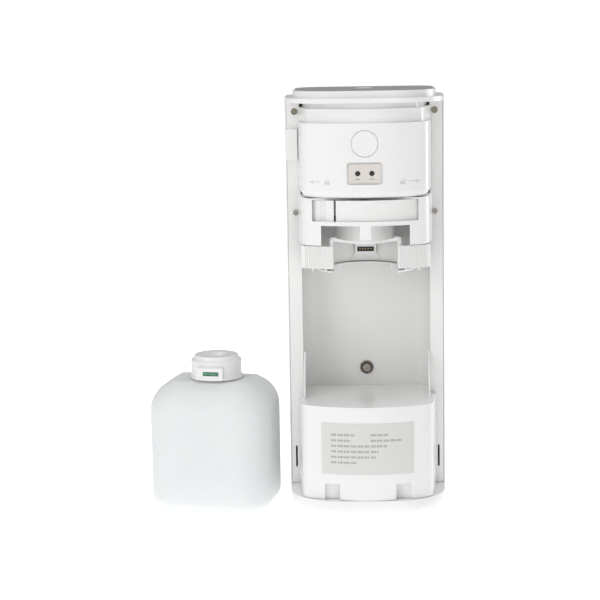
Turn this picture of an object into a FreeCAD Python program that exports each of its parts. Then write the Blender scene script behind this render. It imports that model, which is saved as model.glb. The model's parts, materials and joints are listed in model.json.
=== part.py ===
import FreeCAD, Part
import math
import os
import Sketcher

# Scent diffuser tower with its refill bottle. Millimetres, X right, -Y towards the open
# service side, +Z up. The origin is the middle of the base, on the surface it stands on.

doc = FreeCAD.newDocument("diffuser")
sheet = doc.addObject("Spreadsheet::Sheet", "Sizes")


class Size:
    """A number together with the spreadsheet expression that gives it."""

    def __init__(self, value, text):
        self.value = value
        self.text = text

    def __add__(self, other):
        other = as_size(other)
        return Size(self.value + other.value, "(%s + %s)" % (self.text, other.text))

    def __sub__(self, other):
        other = as_size(other)
        return Size(self.value - other.value, "(%s - %s)" % (self.text, other.text))

    def __mul__(self, other):
        other = as_size(other)
        return Size(self.value * other.value, "(%s * %s)" % (self.text, other.text))

    def __truediv__(self, other):
        other = as_size(other)
        return Size(self.value / other.value, "(%s / %s)" % (self.text, other.text))

    def __neg__(self):
        return Size(-self.value, "(-1 * %s)" % self.text)

    def __radd__(self, other):
        return as_size(other) + self

    def __rsub__(self, other):
        return as_size(other) - self

    def __rmul__(self, other):
        return as_size(other) * self


def as_size(number):
    return number if isinstance(number, Size) else Size(float(number), repr(float(number)))


def root(size):
    return Size(math.sqrt(size.value), "sqrt(%s)" % size.text)


def cell(alias, value):
    """Writes one driving size into the next row of the sheet."""
    cell.row += 1
    sheet.set("A%d" % cell.row, alias)
    sheet.set("B%d" % cell.row, str(value))
    sheet.setAlias("B%d" % cell.row, alias)
    return Size(float(value), "Sizes." + alias)


cell.row = 0

# overall body
total_height = cell("total_height", 361)
shell_width = cell("shell_width", 135)
shell_depth = cell("shell_depth", 67.5)
shell_sheet = cell("shell_sheet", 1.2)
shell_corner = cell("shell_corner", 28)
shell_hang = cell("shell_hang", 7.6)
base_height = cell("base_height", 18.4)
lid_thickness = cell("lid_thickness", 9.8)
lid_flange = cell("lid_flange", 3.8)
gap = cell("gap", 0.3)
wall = cell("wall", 2.5)
# trough that holds the bottle
flange_width = cell("flange_width", 12.5)
bay_depth = cell("bay_depth", 35)
bay_corner = cell("bay_corner", 14)
trough_wall = cell("trough_wall", 2)
flange_front = cell("flange_front", 1)
flange_thick = cell("flange_thick", 2.5)
fastener_inset = cell("fastener_inset", 8.2)
# protruding front of the housings
flank_lap = cell("flank_lap", 1.5)
front_taper = cell("front_taper", 3)
front_side = cell("front_side", 47)
front_rise = cell("front_rise", 26)
front_corner = cell("front_corner", 12)
front_allowance = cell("front_allowance", 9)
lower_widen = cell("lower_widen", 3)
corner_lag = cell("corner_lag", 0.6)
floor_height = cell("floor_height", 98.6)
upper_drop = cell("upper_drop", 87.5)
neck_drop = cell("neck_drop", 26.1)
neck_inset = cell("neck_inset", 4)
under_radius = cell("under_radius", 6)
groove_drop = cell("groove_drop", 14.6)
groove_inset = cell("groove_inset", 8.5)
# dock
dock_offset = cell("dock_offset", 8)
collar_drop = cell("collar_drop", 146.2)
collar_rise = cell("collar_rise", 18.7)
notch_half = cell("notch_half", 26.8)
arch_drop = cell("arch_drop", 120.5)
arch_sag = cell("arch_sag", 3.2)
rib_pitch = cell("rib_pitch", 1.75)
rib_depth = cell("rib_depth", 0.7)
rib_width = cell("rib_width", 0.8)
bar_drop = cell("bar_drop", 106.7)
bar_height = cell("bar_height", 3.4)
leg_drop = cell("leg_drop", 126.7)
head_radius = cell("head_radius", 24.5)
# controls
panel_width = cell("panel_width", 29.6)
panel_height = cell("panel_height", 18.4)
panel_drop = cell("panel_drop", 67)
plate_width = cell("plate_width", 26.2)
plate_height = cell("plate_height", 15.6)
button_radius = cell("button_radius", 1.85)
button_spread = cell("button_spread", 5.8)
plug_radius = cell("plug_radius", 10.8)
plug_drop = cell("plug_drop", 42.7)
# label and cover hooks
label_width = cell("label_width", 77.6)
label_bottom = cell("label_bottom", 41)
label_top = cell("label_top", 85)
hook_width = cell("hook_width", 12.6)
hook_spread = cell("hook_spread", 30)
hook_top = cell("hook_top", 32.5)
# wall screw
screw_height = cell("screw_height", 114.3)
screw_hole = cell("screw_hole", 2.6)
washer_radius = cell("washer_radius", 6.1)
# bottle
bottle_width = cell("bottle_width", 107)
bottle_depth = cell("bottle_depth", 83)
bottle_front_corner = cell("bottle_front_corner", 30)
bottle_rear_corner = cell("bottle_rear_corner", 22)
bottle_shoulder = cell("bottle_shoulder", 112.5)
bottle_edge = cell("bottle_edge", 18)
bottle_foot = cell("bottle_foot", 12)
bottle_wall = cell("bottle_wall", 1.6)
bottle_gap = cell("bottle_gap", 10)
bottle_y = cell("bottle_y", 4)
bottle_turn = cell("bottle_turn", -9.5)
mouth_radius = cell("mouth_radius", 18)
mouth_height = cell("mouth_height", 13)
cap_radius = cell("cap_radius", 22)
cap_height = cell("cap_height", 20)

half_width = shell_width / 2
inside = shell_sheet + gap
lid_bottom = total_height - lid_thickness
flange_half = half_width - inside
bay_half = half_width - flange_width
housing_flank = bay_half + flank_lap
front_half = bay_half - front_taper
upper_bottom = total_height - upper_drop
neck_bottom = total_height - neck_drop
groove_bottom = total_height - groove_drop
collar_bottom = total_height - collar_drop
collar_top = collar_bottom + collar_rise
arch_top = total_height - arch_drop
bar_top = total_height - bar_drop
bar_bottom = bar_top - bar_height
leg_bottom = total_height - leg_drop
panel_middle = total_height - panel_drop
plug_middle = total_height - plug_drop
fastener_half = half_width - fastener_inset
bottle_x = -(half_width + bottle_width / 2 + bottle_gap)

pieces = []


def bind(thing, field, size):
    size = as_size(size)
    thing.setExpression(field, size.text)


def place(thing, x=0, y=0, z=0, axis=(0, 0, 1), angle=0):
    """Puts a piece at x, y, z, turned by angle degrees about axis."""
    where = [as_size(v) for v in (x, y, z)]
    angle = as_size(angle)
    thing.Placement = FreeCAD.Placement(
        FreeCAD.Vector(*[v.value for v in where]),
        FreeCAD.Rotation(FreeCAD.Vector(*axis), angle.value),
    )
    for name, size in zip("xyz", where):
        bind(thing, "Placement.Base." + name, size)
    if isinstance(angle, Size) and angle.text != "0.0":
        bind(thing, "Placement.Rotation.Angle", angle)
    return thing


def fixed_point(sketch, geometry, position, x, y):
    """Holds one sketch point at x, y from the sketch's origin."""
    for kind, axis, size in (("DistanceX", -2, as_size(x)), ("DistanceY", -1, as_size(y))):
        if size.text in ("0.0", "-0.0"):
            sketch.addConstraint(Sketcher.Constraint("PointOnObject", geometry, position, axis))
            continue
        rule = Sketcher.Constraint(kind, -1, 1, geometry, position, size.value)
        index = sketch.addConstraint(rule)
        bind(sketch, "Constraints[%d]" % index, size)


def corner_arc(before, corner, after, radius):
    """The arc of that radius that rounds a corner, and its two ends."""
    to_before = (before - corner).normalize()
    to_after = (after - corner).normalize()
    half = to_before.getAngle(to_after) / 2
    reach = radius / math.tan(half)
    middle = (to_before + to_after).normalize() * (radius / math.sin(half)) + corner
    first = corner + to_before * reach
    last = corner + to_after * reach
    angles = [math.atan2(p.y - middle.y, p.x - middle.x) for p in (first, last)]
    forward = (angles[1] - angles[0]) % (2 * math.pi) < math.pi
    if not forward:
        angles.reverse()
    circle = Part.Circle(middle, FreeCAD.Vector(0, 0, 1), radius)
    return Part.ArcOfCircle(circle, angles[0], angles[1]), first, last, forward


def draw_outline(sketch, corners):
    """Closed outline through (x, y) or (x, y, radius) corners."""
    points = [FreeCAD.Vector(as_size(c[0]).value, as_size(c[1]).value, 0) for c in corners]
    count = len(corners)
    starts, ends, arcs = list(points), list(points), {}
    for i, corner in enumerate(corners):
        if len(corner) == 3:
            radius = as_size(corner[2])
            arc = corner_arc(points[i - 1], points[i], points[(i + 1) % count], radius.value)
            arcs[i] = (arc[0], arc[3], radius)
            ends[i], starts[i] = arc[1], arc[2]
    lines = []
    for i in range(count):
        line = Part.LineSegment(starts[i], ends[(i + 1) % count])
        lines.append(sketch.addGeometry(line, False))
    for i, corner in enumerate(corners):
        before, after = lines[i - 1], lines[i]
        if i not in arcs:
            sketch.addConstraint(Sketcher.Constraint("Coincident", before, 2, after, 1))
            fixed_point(sketch, after, 1, corner[0], corner[1])
            continue
        shape, forward, radius = arcs[i]
        curve = sketch.addGeometry(shape, False)
        enter, leave = (1, 2) if forward else (2, 1)
        mark = sketch.addGeometry(Part.Point(points[i]), True)
        fixed_point(sketch, mark, 1, corner[0], corner[1])
        sketch.addConstraint(Sketcher.Constraint("PointOnObject", mark, 1, before))
        sketch.addConstraint(Sketcher.Constraint("PointOnObject", mark, 1, after))
        sketch.addConstraint(Sketcher.Constraint("Tangent", before, 2, curve, enter))
        sketch.addConstraint(Sketcher.Constraint("Tangent", after, 1, curve, leave))
        index = sketch.addConstraint(Sketcher.Constraint("Radius", curve, radius.value))
        bind(sketch, "Constraints[%d]" % index, radius)


def draw_circle(sketch, x, y, radius):
    x, y, radius = as_size(x), as_size(y), as_size(radius)
    middle = FreeCAD.Vector(x.value, y.value, 0)
    circle = sketch.addGeometry(Part.Circle(middle, FreeCAD.Vector(0, 0, 1), radius.value), False)
    fixed_point(sketch, circle, 3, x, y)
    index = sketch.addConstraint(Sketcher.Constraint("Radius", circle, radius.value))
    bind(sketch, "Constraints[%d]" % index, radius)


class Piece:
    """One PartDesign body, built up feature by feature."""

    def __init__(self, label):
        self.body = doc.addObject("PartDesign::Body", label)
        self.body.Label = label
        self.label = label
        self.step = 0
        pieces.append(self.body)

    def name(self, word):
        self.step += 1
        return "%s_%s%d" % (self.label, word, self.step)

    def plane(self, role):
        return next(f for f in self.body.Origin.OriginFeatures if f.Role == role)

    def sketch(self, role, loops, offset=0, middle=(0, 0)):
        """Outlines and circles on an origin plane, moved along its normal by offset."""
        drawing = self.body.newObject("Sketcher::SketchObject", self.name("sketch"))
        drawing.AttachmentSupport = [(self.plane(role), "")]
        drawing.MapMode = "FlatFace"
        for axis, size in zip("xyz", (middle[0], middle[1], offset)):
            bind(drawing, "AttachmentOffset.Base." + axis, size)
        for loop in loops:
            if isinstance(loop, list):
                draw_outline(drawing, loop)
            else:
                draw_circle(drawing, *loop)
        return drawing

    def feature(self, kind, drawing, length, measure="Length"):
        made = self.body.newObject("PartDesign::" + kind, self.name(kind.lower()))
        made.Profile = drawing
        if length is not None:
            bind(made, measure, length)
        return made

    def pad(self, role, loops, start, end):
        """Material between start and end along the plane's normal."""
        return self.feature("Pad", self.sketch(role, loops, start), as_size(end) - start)

    def cut(self, role, loops, start, end):
        """Removes what lies between start and end along the plane's normal."""
        return self.feature("Pocket", self.sketch(role, loops, end), as_size(end) - start)

    def turn(self, loops, kind="Revolution"):
        """Turns a radius-and-height outline once round the body's Z axis."""
        drawing = self.sketch("XZ_Plane", loops)
        made = self.feature(kind, drawing, None)
        made.ReferenceAxis = (drawing, ["V_Axis"])
        made.Angle = 360
        return made

    def ring(self, original, count, angle=360):
        pattern = self.body.newObject("PartDesign::PolarPattern", self.name("ring"))
        pattern.Originals = [original]
        pattern.Axis = (original.Profile[0], ["N_Axis"])
        bind(pattern, "Angle", angle)
        pattern.Occurrences = count
        self.body.Tip = pattern
        return pattern

    def mirror(self, originals):
        copy = self.body.newObject("PartDesign::Mirrored", self.name("mirror"))
        copy.Originals = originals
        copy.MirrorPlane = (self.plane("YZ_Plane"), [""])
        self.body.Tip = copy
        return copy

    def dress(self, kind, radius, test, measure):
        """Rounds or bevels the edges that pass the test."""
        doc.recompute()
        base = self.body.Tip
        names = ["Edge%d" % (i + 1) for i, e in enumerate(base.Shape.Edges) if test(e)]
        made = self.body.newObject("PartDesign::" + kind, self.name(kind.lower()))
        made.Base = (base, names)
        bind(made, measure, radius)
        return made

    def round(self, radius, test):
        return self.dress("Fillet", radius, test, "Radius")


def at_height(size):
    """Edges that lie flat at that height."""
    height = as_size(size).value
    return lambda e: all(abs(v.Point.z - height) < 0.01 for v in e.Vertexes) and (
        abs(e.CenterOfMass.z - height) < 0.01
    )


def box_outline(x0, x1, y0, y1, radius=None):
    corners = [(x0, y0), (x1, y0), (x1, y1), (x0, y1)]
    return [c + (radius,) for c in corners] if radius is not None else corners


def rod(label, radius, length, x, y, z, axis=(0, 0, 1), angle=0):
    """One cylinder from x, y, z along its turned axis."""
    made = doc.addObject("Part::Cylinder", label)
    bind(made, "Radius", radius)
    bind(made, "Height", length)
    return place(made, x, y, z, axis, angle)


def join(label, parts):
    made = doc.addObject("Part::MultiFuse", label)
    made.Shapes = parts
    return made


def less(label, base, tool):
    made = doc.addObject("Part::Cut", label)
    made.Base = base
    made.Tool = tool
    return made


def group(label, parts):
    """Several separate solids of the same fastener, kept as one node."""
    made = doc.addObject("Part::Compound", label)
    made.Links = parts
    pieces.append(made)
    made.Label = label
    return made


def single(label, made):
    made.Label = label
    pieces.append(made)
    return made


def front_outline(grow=0, back=0, flank=None, widen=0):
    """Plan of the protruding housings: tapering flanks and a bowed front."""
    if flank is None:
        flank = housing_flank + grow + widen
    half = front_half + grow + widen
    side = front_side + as_size(grow) * corner_lag
    line = root(half * half + front_rise * front_rise)
    bow = (line - front_allowance) * half / front_rise
    corner = front_corner + grow
    return [
        (-flank, -as_size(back)),
        (-half, -side, corner),
        (0, -(side + front_rise), bow),
        (half, -side, corner),
        (flank, -as_size(back)),
    ]


half_line = root(front_half * front_half + front_rise * front_rise)
bow_radius = (half_line - front_allowance) * front_half / front_rise
bow_middle = bow_radius * half_line / front_half - front_side - front_rise
front_reach = bow_radius - bow_middle


def square_outline(inset, front, front_corner_radius, rear_corner_radius):
    """Plan of the closed tower: a square with large rounded corners."""
    half = half_width - inset
    rear = shell_depth - inset
    return [
        (-half, -as_size(front), front_corner_radius),
        (half, -as_size(front), front_corner_radius),
        (half, rear, rear_corner_radius),
        (-half, rear, rear_corner_radius),
    ]


FORWARD = "XZ_Plane"
PLAN = "XY_Plane"
SIDE = "YZ_Plane"

# --- steel rear shell: one bent sheet with its wall slots and inlet hole ---
keyhole_drop = cell("keyhole_drop", 61)
keyhole_spread = cell("keyhole_spread", 30)
keyhole_radius = cell("keyhole_radius", 4.5)
keyhole_slot = cell("keyhole_slot", 2.25)
keyhole_run = cell("keyhole_run", 11.5)
inlet_radius = cell("inlet_radius", 5.5)
inlet_height = cell("inlet_height", 34)
keyhole_height = total_height - keyhole_drop

rear_shell = Piece("rear_shell")
inner_half = half_width - shell_sheet
inner_rear = shell_depth - shell_sheet
inner_corner = shell_corner - shell_sheet
rear_shell.pad(PLAN, [[
    (-half_width, 0),
    (-half_width, shell_depth, shell_corner),
    (half_width, shell_depth, shell_corner),
    (half_width, 0),
    (inner_half, 0),
    (inner_half, inner_rear, inner_corner),
    (-inner_half, inner_rear, inner_corner),
    (-inner_half, 0),
]], base_height - shell_hang, lid_bottom + lid_flange)
through = (-shell_depth - 1, -inner_rear + 1)
rear_shell.cut(FORWARD, [(0, screw_height, screw_hole)], *through)
rear_shell.cut(FORWARD, [(0, inlet_height, inlet_radius)], *through)
rear_shell.cut(FORWARD, [
    (-keyhole_spread, keyhole_height, keyhole_radius),
    (keyhole_spread, keyhole_height, keyhole_radius),
], *through)
slot_start = keyhole_height + keyhole_radius * 0.6
slot_end = keyhole_height + keyhole_run
rear_shell.cut(FORWARD, [
    box_outline(middle - keyhole_slot, middle + keyhole_slot, slot_start, slot_end)
    for middle in (-keyhole_spread, keyhole_spread)
], *through)

# --- trough: side flanges, bay walls and bay back in one moulding ---
flange_slot_height = cell("flange_slot_height", 33)
flange_slot_length = cell("flange_slot_length", 19)
flange_slot_half = cell("flange_slot_half", 0.8)
flange_slot_inset = cell("flange_slot_inset", 5.6)
magnet_drop = cell("magnet_drop", 18.6)
magnet_radius = cell("magnet_radius", 2.8)
mid_screw_drop = cell("mid_screw_drop", 104.5)
pilot_radius = cell("pilot_radius", 1.6)
press = cell("press", 0.05)
magnet_height = total_height - magnet_drop
mid_screw_height = total_height - mid_screw_drop

trough = Piece("trough")
outer_bay = bay_half + trough_wall
bay_back = bay_depth + trough_wall
flange_rear = flange_thick - flange_front
trough.pad(PLAN, [[
    (-flange_half, -flange_front),
    (-bay_half, -flange_front),
    (-bay_half, bay_depth, bay_corner),
    (bay_half, bay_depth, bay_corner),
    (bay_half, -flange_front),
    (flange_half, -flange_front),
    (flange_half, flange_rear),
    (outer_bay, flange_rear),
    (outer_bay, bay_back, bay_corner + trough_wall),
    (-outer_bay, bay_back, bay_corner + trough_wall),
    (-outer_bay, flange_rear),
    (-flange_half, flange_rear),
]], base_height + gap, lid_bottom - gap)
trough.cut(FORWARD, [(0, screw_height, screw_hole)], -bay_back - 1, -bay_depth + 1)
for side in (-1, 1):
    middle = fastener_half * side
    slot = (half_width - flange_slot_inset) * side
    trough.cut(FORWARD, [
        box_outline(slot - flange_slot_half, slot + flange_slot_half, flange_slot_height,
                    flange_slot_height + flange_slot_length),
        (middle, magnet_height, magnet_radius + press),
        (middle, mid_screw_height, pilot_radius),
    ], -flange_rear - 1, flange_front + 1)

# --- lower housing: bowed front, bay floor, cover hook sockets, fins beside the bay ---
lower_housing = Piece("lower_housing")
housing_back = flange_front + gap
lower_housing.pad(PLAN, [front_outline(0, housing_back, None, lower_widen)],
                  base_height + gap, floor_height)
lower_housing.cut(PLAN, [front_outline(-wall, flange_front, None, lower_widen)],
                  base_height, floor_height - wall)
floor_half = bay_half - gap
floor_front = front_side / 2
lower_housing.pad(PLAN, [[
    (-floor_half, -floor_front),
    (floor_half, -floor_front),
    (floor_half, bay_depth - gap, bay_corner),
    (-floor_half, bay_depth - gap, bay_corner),
]], floor_height - wall, floor_height)
socket_edge = cell("socket_edge", 1.6)
socket_depth = cell("socket_depth", 5)
hook_setback = cell("hook_setback", 4)
hook_reach = front_reach - hook_setback
lower_half = front_half + lower_widen
lower_line = root(lower_half * lower_half + front_rise * front_rise)
lower_bow = (lower_line - front_allowance) * lower_half / front_rise
lower_middle = lower_bow * lower_line / lower_half - front_side - front_rise


def behind_front(across):
    """The y just inside the lower housing's bowed front, at a distance from its middle."""
    return lower_middle - root(lower_bow * lower_bow - across * across) + gap


for side in (-1, 1):
    middle = hook_spread * side
    half = hook_width / 2
    near = hook_spread - half - socket_edge
    far = hook_spread + half + socket_edge
    socket_back = socket_depth + socket_edge - hook_reach
    lower_housing.pad(PLAN, [[(near * side, socket_back), (near * side, behind_front(near)),
                              (far * side, behind_front(far)), (far * side, socket_back)]],
                      base_height + gap, hook_top + socket_edge)
    lower_housing.cut(FORWARD, [box_outline(middle - half, middle + half, base_height, hook_top)],
                      hook_reach - socket_depth, front_reach + 1)
fin_height = cell("fin_height", 37)
fin_knee = cell("fin_knee", 28)
fin_knee_run = cell("fin_knee_run", 14)
fin_run = cell("fin_run", 24)
fin_thick = cell("fin_thick", 1.4)
fin_inset = cell("fin_inset", 2.4)
fin_side = housing_flank - fin_inset
fins = [lower_housing.pad(SIDE, [[
    (-housing_back, floor_height - 1),
    (-housing_back, floor_height + fin_height),
    (-housing_back - fin_thick, floor_height + fin_height),
    (-fin_knee_run, floor_height + fin_knee),
    (-fin_run, floor_height + fin_thick),
    (-fin_run, floor_height - 1),
]], fin_side - fin_thick, fin_side)]
lower_housing.mirror(fins)

# --- base cap with the ledge for the cover, and its rubber pad ---
pad_thick = cell("pad_thick", 1)
base_edge = cell("base_edge", 15.5)
tower_corner = cell("tower_corner", 42)
recess_half = cell("recess_half", 45)
recess_corner = cell("recess_corner", 14)
hollow_inset = cell("hollow_inset", 19)
hollow_corner = cell("hollow_corner", 12)
base_cap = Piece("base_cap")
base_cap.pad(PLAN, [square_outline(inside, front_reach, tower_corner, shell_corner - inside)],
             pad_thick / 2, base_height)
base_cap.round(base_edge, at_height(pad_thick / 2))
base_cap.cut(PLAN, [square_outline(hollow_inset, front_reach - hollow_corner, hollow_corner * 2,
                                   hollow_corner)], wall + pad_thick, base_height)
recess_front = 2 - recess_half
recess_back = recess_half + 2
base_cap.cut(PLAN, [box_outline(-recess_half, recess_half, recess_front, recess_back,
                                recess_corner)], 0, pad_thick)

base_pad = Piece("base_pad")
base_pad.pad(PLAN, [box_outline(gap - recess_half, recess_half - gap, recess_front + gap,
                                recess_back - gap, recess_corner - gap)], 0, pad_thick)

# --- lid with inlay and outlet ---
lid_step = cell("lid_step", 8)
lid_step_front = cell("lid_step_front", 4.5)
lid_rim = cell("lid_rim", 1.6)
inlay_thick = cell("inlay_thick", 1.4)
inlay_sink = cell("inlay_sink", 0.2)
outlet_y = cell("outlet_y", 18)
outlet_radius = cell("outlet_radius", 8)
inlay_edge = lid_step + lid_rim
inlay_front = front_reach - lid_step_front - lid_rim
lid = Piece("lid")
lid.pad(PLAN, [square_outline(inside, front_reach, tower_corner, shell_corner - inside)],
        lid_bottom, lid_bottom + lid_flange)
lid.pad(PLAN, [square_outline(lid_step, front_reach - lid_step_front, tower_corner - lid_step_front,
                              shell_corner - lid_step_front)],
        lid_bottom + lid_flange, total_height)
lid.cut(PLAN, [square_outline(inlay_edge, inlay_front, tower_corner - inlay_edge + lid_rim,
                              shell_corner - inlay_edge)],
        total_height - inlay_thick, total_height)
lid.cut(PLAN, [(0, outlet_y, outlet_radius + gap)], lid_bottom, total_height)

inlay = Piece("lid_inlay")
inlay.pad(PLAN, [square_outline(inlay_edge + gap, inlay_front - gap,
                                tower_corner - inlay_edge + lid_rim - gap,
                                shell_corner - inlay_edge - gap),
                 (0, outlet_y, outlet_radius + gap)],
          total_height - inlay_thick, total_height - inlay_sink)

outlet_bore = cell("outlet_bore", 3)
outlet_drop = cell("outlet_drop", 12)
outlet_neck = cell("outlet_neck", 9)
outlet_flare = cell("outlet_flare", 3.2)
outlet_flare_depth = cell("outlet_flare_depth", 2.2)
outlet_step = cell("outlet_step", 1.5)
outlet = Piece("outlet_nozzle")
outlet.turn([[
    (outlet_bore, -outlet_drop), (outlet_radius - outlet_step, -outlet_drop),
    (outlet_radius - outlet_step, -outlet_neck), (outlet_radius, -outlet_neck),
    (outlet_radius, 0), (outlet_bore + outlet_flare, 0), (outlet_bore, -outlet_flare_depth),
]])
place(outlet.body, 0, outlet_y, total_height)

# --- upper housing ---
panel_depth = cell("panel_depth", 2.9)
panel_backing = cell("panel_backing", 4)
panel_edge = cell("panel_edge", 1.5)
panel_corner = cell("panel_corner", 2.2)
plug_slack = cell("plug_slack", 0.25)
hose_port = cell("hose_port", 9)
upper_housing = Piece("upper_housing")
upper_housing.pad(PLAN, [front_outline(0, housing_back)], upper_bottom, neck_bottom)
upper_housing.round(under_radius, lambda e: at_height(upper_bottom)(e) and (
    e.BoundBox.YMin < -housing_back.value - 1))
upper_housing.pad(PLAN, [front_outline(-neck_inset, housing_back, housing_flank - gap)],
                  neck_bottom, groove_bottom)
upper_housing.pad(PLAN, [front_outline(-groove_inset, housing_back, housing_flank - neck_inset)],
                  groove_bottom, lid_bottom)
upper_housing.cut(PLAN, [front_outline(-neck_inset - wall, flange_front)],
                  upper_bottom + wall, groove_bottom - wall)
upper_housing.cut(PLAN, [front_outline(-groove_inset - wall, flange_front)],
                  groove_bottom - wall, lid_bottom)
panel_half = panel_width / 2
panel_low = panel_middle - panel_height / 2
panel_high = panel_middle + panel_height / 2
panel_floor = front_reach - panel_depth
bores_start = front_side / 2
upper_housing.pad(FORWARD, [box_outline(-panel_half - panel_edge, panel_half + panel_edge,
                                        panel_low - panel_edge, panel_high + panel_edge)],
                  panel_floor - panel_backing, panel_floor)
upper_housing.cut(FORWARD, [box_outline(-panel_half, panel_half, panel_low, panel_high,
                                        panel_corner)], panel_floor, front_reach + 1)
upper_housing.cut(FORWARD, [(0, plug_middle, plug_radius + plug_slack)], bores_start,
                  front_reach + 1)
for side in (-1, 1):
    upper_housing.cut(FORWARD, [(button_spread * side, panel_middle, button_radius + gap)],
                      bores_start, panel_floor + 1)
upper_housing.cut(PLAN, [(0, -dock_offset, hose_port)], upper_bottom - 1, upper_bottom + wall + 1)

# --- round plug over the setup port ---
plug_face = cell("plug_face", 0.5)
plug_rim = cell("plug_rim", 4)
plug_stub = cell("plug_stub", 7)
plug_stub_step = cell("plug_stub_step", 2.5)
plug_edge = cell("plug_edge", 0.4)
round_plug = Piece("round_plug")
round_plug.pad(FORWARD, [(0, plug_middle, plug_radius)], front_reach - plug_rim,
               front_reach - plug_face)
round_plug.pad(FORWARD, [(0, plug_middle, plug_radius - plug_stub_step)],
               front_reach - plug_stub, front_reach - plug_rim)
round_plug.round(plug_edge, lambda e: (
    abs(e.CenterOfMass.y + front_reach.value - plug_face.value) < 0.01))

# --- control plate, its two buttons and the board behind ---
plate_thick = cell("plate_thick", 1.4)
button_travel = cell("button_travel", 0.8)
button_proud = cell("button_proud", 0.3)
button_length = cell("button_length", 9)
button_foot = cell("button_foot", 1.5)
button_edge = cell("button_edge", 0.35)
control_plate = Piece("control_plate")
plate_face = panel_floor + plate_thick
control_plate.pad(FORWARD, [
    box_outline(-plate_width / 2, plate_width / 2, panel_middle - plate_height / 2,
                panel_middle + plate_height / 2, plate_thick),
    (-button_spread, panel_middle, button_radius + gap),
    (button_spread, panel_middle, button_radius + gap),
], panel_floor, plate_face)
button_rear = panel_floor - button_length
button_front = plate_face + button_proud
for side, word in ((-1, "left"), (1, "right")):
    button = Piece("button_" + word)
    middle = button_spread * side
    button.pad(FORWARD, [(middle, panel_middle, button_radius)], button_rear, button_front)
    button.pad(FORWARD, [(middle, panel_middle, button_radius + 1)], button_rear,
               button_rear + button_foot)
    button.round(button_edge, lambda e: abs(e.CenterOfMass.y + button_front.value) < 0.01)

board_thick = cell("board_thick", 1.6)
switch_height = cell("switch_height", 1)
switch_half = cell("switch_half", 2.6)
switch_gap = cell("switch_gap", 0.2)
board_half = cell("board_half", 18)
board_rise = cell("board_rise", 10)
board_face = button_rear - button_travel - switch_height - switch_gap
control_board = Piece("control_board")
control_board.pad(FORWARD, [box_outline(-board_half, board_half, panel_middle - board_rise,
                                        panel_middle + board_rise)],
                  board_face - board_thick, board_face)
for side in (-1, 1):
    middle = button_spread * side
    control_board.pad(FORWARD, [box_outline(middle - switch_half, middle + switch_half,
                                            panel_middle - switch_half,
                                            panel_middle + switch_half)],
                      board_face, board_face + switch_height)

# --- dock bracket: top plate, legs, bar and middle post under the upper housing ---
bracket_back = cell("bracket_back", 12)
bracket_plate = cell("bracket_plate", 1.3)
window_relief = cell("window_relief", 12)
leg_inner = cell("leg_inner", 36.6)
window_half = cell("window_half", 43.8)
post_half = cell("post_half", 4.6)
window_start = bores_start
window_end = front_reach + 1
bracket_top = upper_bottom - gap
plate_bottom = bracket_top - bracket_plate
bracket = Piece("dock_bracket")
bracket.pad(PLAN, [front_outline(0, bracket_back)], leg_bottom, bracket_top)
bracket.cut(PLAN, [front_outline(-wall, bracket_back - 1)], leg_bottom - 1, plate_bottom)
bracket.cut(PLAN, [(0, -dock_offset - trough_wall, hose_port)], plate_bottom - 1, bracket_top + 1)
bracket.cut(FORWARD, [box_outline(-window_half, window_half, bar_top, plate_bottom)],
            window_start, window_end)
bracket.cut(FORWARD, [box_outline(-window_half, window_half, bar_top, bracket_top + 1)],
            front_reach - window_relief, window_end)
for side in (-1, 1):
    inner, outer = post_half * side, leg_inner * side
    bracket.cut(FORWARD, [[(inner, leg_bottom - 1), (outer, leg_bottom - 1), (outer, bar_bottom),
                           (inner, bar_bottom)]], window_start, window_end)
bracket.cut(FORWARD, [box_outline(-post_half - 1, post_half + 1, leg_bottom - 1,
                                  arch_top - 1)], window_start, window_end)

# --- bowed shroud round the atomizer and the atomizer head below it ---
shroud_inset = cell("shroud_inset", 4.2)
shroud_floor = cell("shroud_floor", 3)
shroud_hole = cell("shroud_hole", 14)
shroud_slot = cell("shroud_slot", 25)
shroud_slot_half = cell("shroud_slot_half", 0.9)
shroud_panel = cell("shroud_panel", 35)
shroud_panel_half = cell("shroud_panel_half", 2.2)
shroud_panel_depth = cell("shroud_panel_depth", 11.5)
shroud_bottom = bar_top - shroud_floor
shroud_top = plate_bottom - gap
shroud = Piece("dock_shroud")
shroud.pad(PLAN, [front_outline(-shroud_inset, 0)], shroud_bottom, shroud_top)
shroud.cut(PLAN, [front_outline(-shroud_inset - wall, -wall)], shroud_bottom + wall, shroud_top)
shroud.cut(PLAN, [(0, -dock_offset, shroud_hole)], shroud_bottom - 1, shroud_bottom + wall + 1)
shroud.cut(FORWARD, [box_outline(-shroud_slot - shroud_slot_half, -shroud_slot + shroud_slot_half,
                                 shroud_bottom + wall, shroud_top)], window_start, window_end)
shroud.cut(FORWARD, [box_outline(-shroud_panel - shroud_panel_half,
                                 -shroud_panel + shroud_panel_half,
                                 shroud_bottom + wall, shroud_top)],
           front_reach - shroud_panel_depth, window_end)

throat = cell("throat", 10)
throat_depth = cell("throat_depth", 6)
head_lap = cell("head_lap", 6)
head_neck = cell("head_neck", 13.5)
head_neck_rise = cell("head_neck_rise", 8)
hose_outer = cell("hose_outer", 3)
hose_bore = cell("hose_bore", 1.8)
stem_bore = cell("stem_bore", 0.9)
head_bottom = arch_top - head_lap
throat_top = head_bottom + throat_depth
head_top = shroud_bottom - gap
neck_top = shroud_bottom + head_neck_rise
stem_top = shroud_top - 1
head = Piece("atomizer_head")
head.turn([[
    (stem_bore, throat_top), (throat, throat_top), (throat, head_bottom),
    (head_radius, head_bottom), (head_radius, head_top),
    (head_neck, head_top), (head_neck, neck_top), (hose_bore - press, neck_top),
    (hose_bore - press, stem_top), (stem_bore, stem_top),
]])
place(head.body, 0, -dock_offset, 0)

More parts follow.
